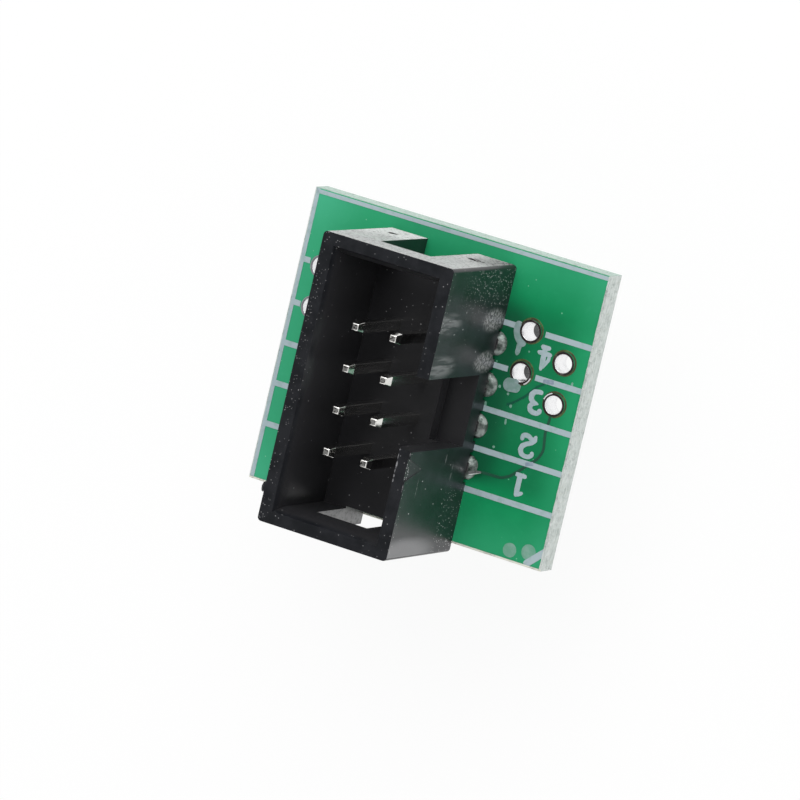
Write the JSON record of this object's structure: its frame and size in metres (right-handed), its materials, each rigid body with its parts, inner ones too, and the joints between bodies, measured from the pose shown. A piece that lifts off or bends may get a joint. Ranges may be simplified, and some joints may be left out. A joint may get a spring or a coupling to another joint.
{
  "type": "ic test clip adapter board",
  "caption": "Green circuit board with a black keyed box header on its front and rows of square socket pins on its back, to plug a test clip's ribbon cable into a chip socket.",
  "frame": {"origin": "middle of the bounding box in X and Y, at the level of the socket pins' tips", "axes": "+Z out of the board's front face, +X towards the header's key notch, +Y along the rows of pins, away from pin 1"},
  "size_m": [0.02, 0.0188, 0.0185],
  "materials": {
    "laminate": "glass-fibre laminate, matt sawn edges",
    "solder_mask": "green liquid solder mask, satin gloss",
    "header_plastic": "black moulded polyester, glossy",
    "strip_plastic": "black moulded nylon, fine matt",
    "pin_metal": "tinned square wire, satin bright",
    "solder": "tin solder, bright and slightly grainy",
    "hole_plating": "tinned plating, smooth and bright",
    "screen_ink": "screen-printed pale ink, matt"
  },
  "bodies": {
    "root": {"circuit_board": "laminate", "solder_mask_front": "solder_mask", "solder_mask_back": "solder_mask", "header_housing": "header_plastic", "pin_strip_left": "strip_plastic", "pin_strip_right": "strip_plastic", "header_pin_1": "pin_metal", "header_joint_1": "solder", "board_pin_1": "pin_metal", "board_joint_1": "solder", "spare_hole_1": "hole_plating", "header_pin_2": "pin_metal", "header_joint_2": "solder", "board_pin_2": "pin_metal", "board_joint_2": "solder", "spare_hole_2": "hole_plating", "header_pin_3": "pin_metal", "header_joint_3": "solder", "board_pin_3": "pin_metal", "board_joint_3": "solder", "spare_hole_3": "hole_plating", "header_pin_4": "pin_metal", "header_joint_4": "solder", "board_pin_4": "pin_metal", "board_joint_4": "solder", "spare_hole_4": "hole_plating", "header_pin_5": "pin_metal", "header_joint_5": "solder", "board_pin_5": "pin_metal", "board_joint_5": "solder", "spare_hole_5": "hole_plating", "header_pin_6": "pin_metal", "header_joint_6": "solder", "board_pin_6": "pin_metal", "board_joint_6": "solder", "spare_hole_6": "hole_plating", "header_pin_7": "pin_metal", "header_joint_7": "solder", "board_pin_7": "pin_metal", "board_joint_7": "solder", "spare_hole_7": "hole_plating", "header_pin_8": "pin_metal", "header_joint_8": "solder", "board_pin_8": "pin_metal", "board_joint_8": "solder", "spare_hole_8": "hole_plating"}
  },
  "joints": []
}
